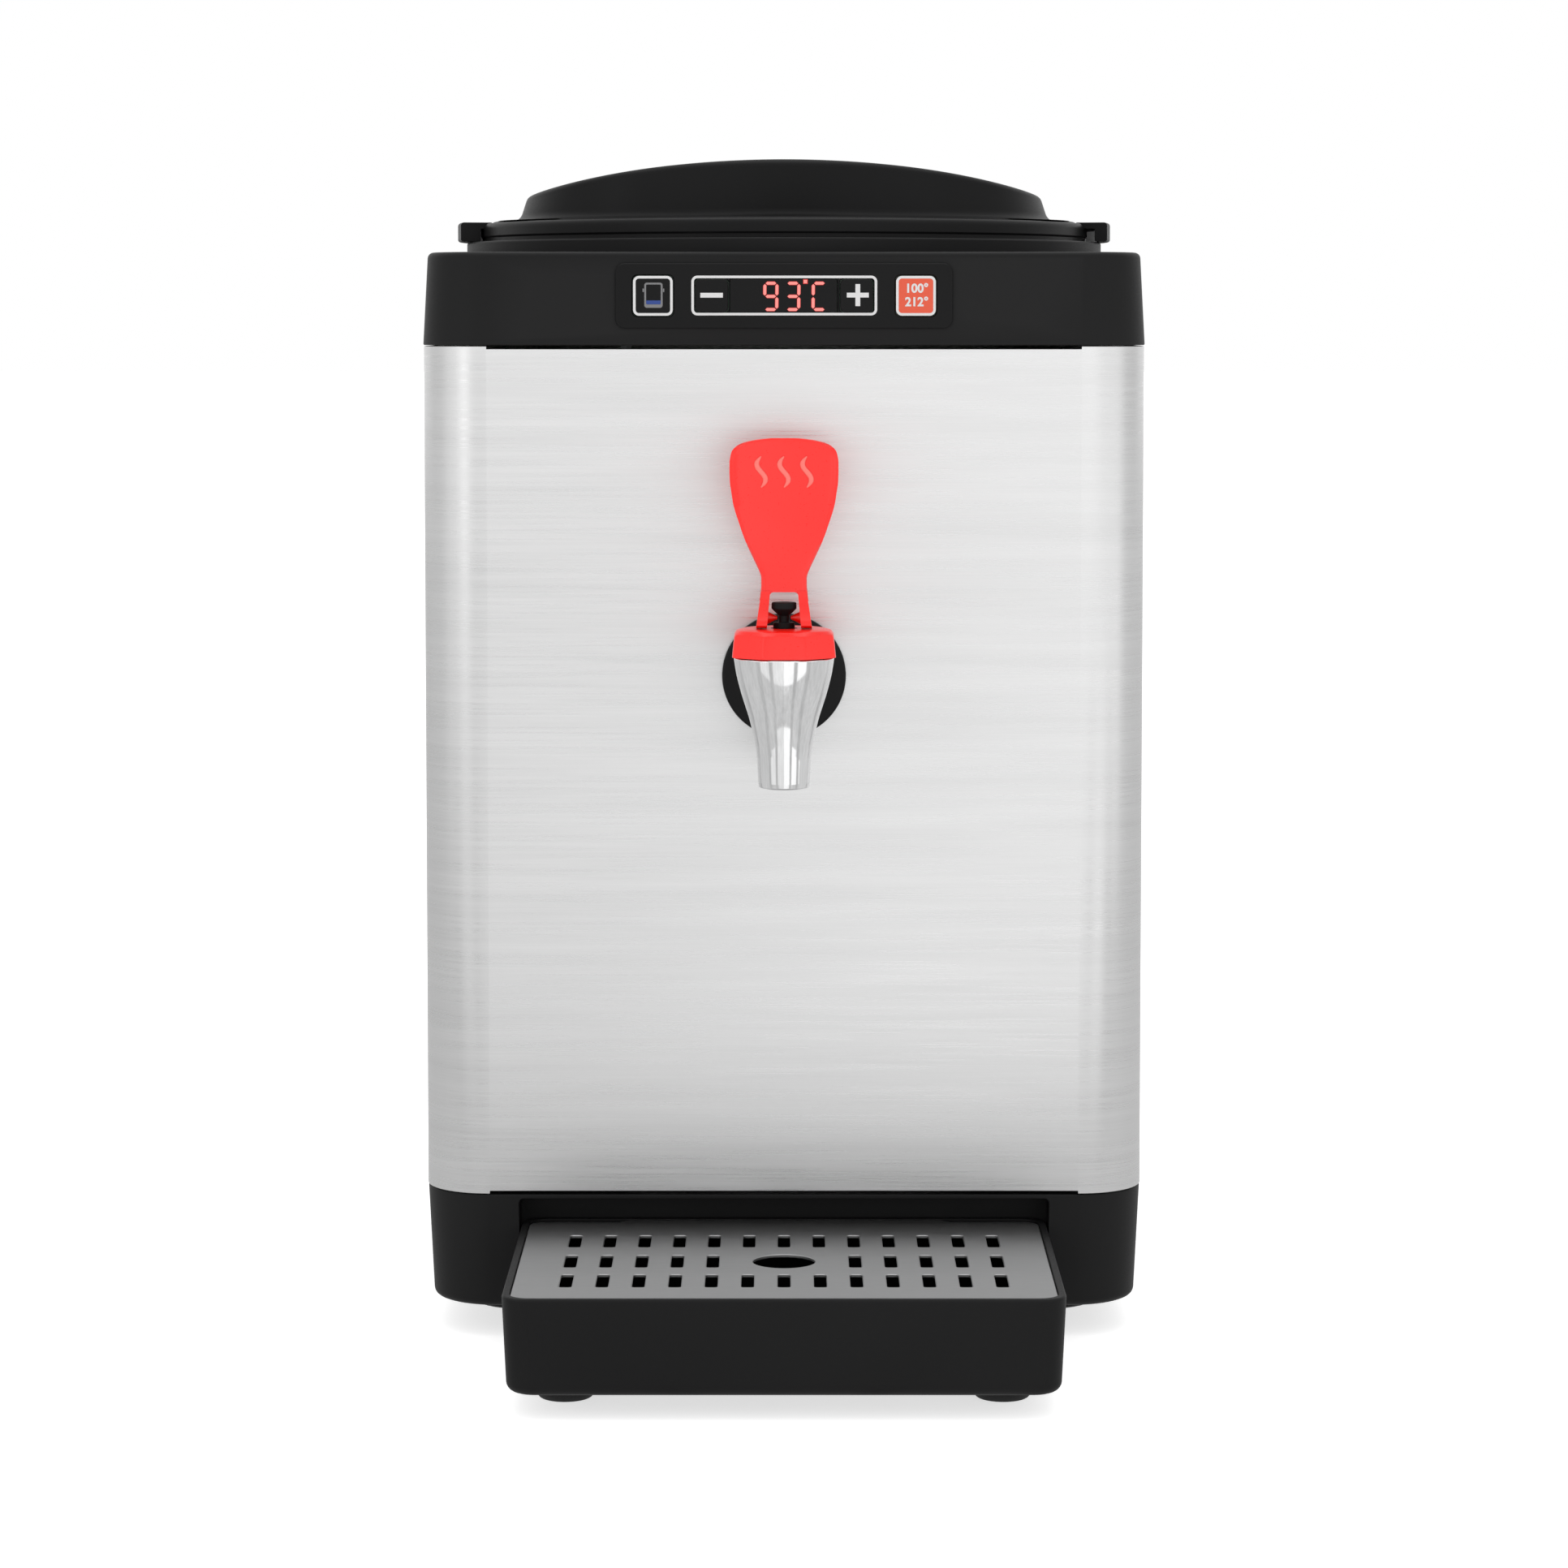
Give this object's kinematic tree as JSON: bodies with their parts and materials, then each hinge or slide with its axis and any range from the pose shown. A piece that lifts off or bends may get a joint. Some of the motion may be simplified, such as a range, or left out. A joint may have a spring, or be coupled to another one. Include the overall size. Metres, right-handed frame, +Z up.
{
  "type": "countertop water dispenser",
  "caption": "Countertop hot-water dispenser: steel body, lift-off lid, lever tap, key panel and slide-out drip tray with a tip-up grid.",
  "frame": {"origin": "middle of the bounding box at the height of the feet's bottoms", "axes": "+Z up, +X to the right of a person facing the tap, -Y out of the front"},
  "size_m": [0.2604, 0.378, 0.4258],
  "materials": {
    "brushed_steel": "satin",
    "polished_steel": "polished",
    "zinc_steel": "satin",
    "black_plastic": "fine matte",
    "gloss_black": "gloss",
    "red_plastic": "satin",
    "orange_plastic": "satin",
    "black_rubber": "matte",
    "silicone": "matte",
    "foam": "matte",
    "board_green": "satin",
    "cable_grey": "matte"
  },
  "bodies": {
    "root": {"steel_jacket": "brushed_steel", "rear_panel": "brushed_steel", "upper_housing": "black_plastic", "base_housing": "black_plastic", "base_plate": "zinc_steel", "foot_front_left": "black_rubber", "foot_front_right": "black_rubber", "foot_rear_left": "black_rubber", "foot_rear_right": "black_rubber", "rear_screw_1": "zinc_steel", "rear_screw_2": "zinc_steel", "rear_screw_3": "zinc_steel", "rear_screw_4": "zinc_steel", "rear_screw_5": "zinc_steel", "rear_screw_6": "zinc_steel", "chassis_frame": "zinc_steel", "boiler_tank": "polished_steel", "tank_insulation": "foam", "tank_gasket": "silicone", "heating_element": "zinc_steel", "temperature_probe": "zinc_steel", "level_probe": "zinc_steel", "dry_boil_thermostat": "zinc_steel", "drain_pipe": "silicone", "drain_plug": "black_plastic", "control_board": "board_green", "display_board": "board_green", "display_cable": "cable_grey", "heater_cable": "cable_grey", "mains_cable": "cable_grey", "power_inlet": "black_plastic", "switch_frame": "black_plastic", "control_panel": "gloss_black", "display_window": "gloss_black", "tap_flange": "black_plastic", "tap_shank": "zinc_steel", "shank_nut": "zinc_steel", "outlet_seal": "silicone", "tap_body": "polished_steel", "tap_bonnet": "red_plastic", "tap_spring": "zinc_steel"},
    "stem": {"tap_stem": "black_plastic", "tap_seat_cup": "black_rubber"},
    "lever": {"tap_lever": "red_plastic"},
    "tray": {"drip_tray": "black_plastic", "tray_foot_left": "black_rubber", "tray_foot_right": "black_rubber"},
    "grid": {"drip_grid": "brushed_steel"},
    "lid": {"lid_shell": "black_plastic", "lid_liner": "black_plastic", "lid_seal": "silicone"},
    "level_key": {"key_level": "gloss_black"},
    "minus_key": {"key_minus": "gloss_black"},
    "plus_key": {"key_plus": "gloss_black"},
    "boil_key": {"key_boil": "orange_plastic"},
    "rocker": {"power_switch": "black_plastic"}
  },
  "joints": [
    {"name": "stem_lift", "type": "slide", "parent": "root", "child": "stem", "axis": [0, 0, 1], "range_m": [0, 0.0031], "stiffness_N_per_m": 15, "deforming": ["tap_spring"]},
    {"name": "lever_tilt", "type": "hinge", "parent": "stem", "child": "lever", "pos_m": [0, -0.1293, 0.2648], "axis": [1, 0, 0], "range_deg": [0, 35], "stiffness_Nm_per_rad": 0.25},
    {"name": "tray_slide", "type": "slide", "parent": "root", "child": "tray", "axis": [0, -1, 0], "range_m": [0, 0.13]},
    {"name": "grid_tilt", "type": "hinge", "parent": "tray", "child": "grid", "pos_m": [0, -0.0609, 0.0411], "axis": [-1, 0, 0], "range_deg": [0, 38]},
    {"name": "lid_lift", "type": "slide", "parent": "root", "child": "lid", "axis": [0, 0, 1], "range_m": [0, 0.12]},
    {"name": "level_key_press", "type": "slide", "parent": "root", "child": "level_key", "axis": [0, 1, 0], "range_m": [0, 0.0005], "stiffness_N_per_m": 600},
    {"name": "minus_key_press", "type": "slide", "parent": "root", "child": "minus_key", "axis": [0, 1, 0], "range_m": [0, 0.0005], "stiffness_N_per_m": 600},
    {"name": "plus_key_press", "type": "slide", "parent": "root", "child": "plus_key", "axis": [0, 1, 0], "range_m": [0, 0.0005], "stiffness_N_per_m": 600},
    {"name": "boil_key_press", "type": "slide", "parent": "root", "child": "boil_key", "axis": [0, 1, 0], "range_m": [0, 0.0005], "stiffness_N_per_m": 600},
    {"name": "rocker_tilt", "type": "hinge", "parent": "root", "child": "rocker", "pos_m": [0.045, 0.1828, 0.032], "axis": [1, 0, 0], "range_deg": [0, 14]}
  ],
  "couplings": [
    {"joint": "stem_lift", "follows": "lever_tilt", "m_per_rad": 0.00491}
  ]
}
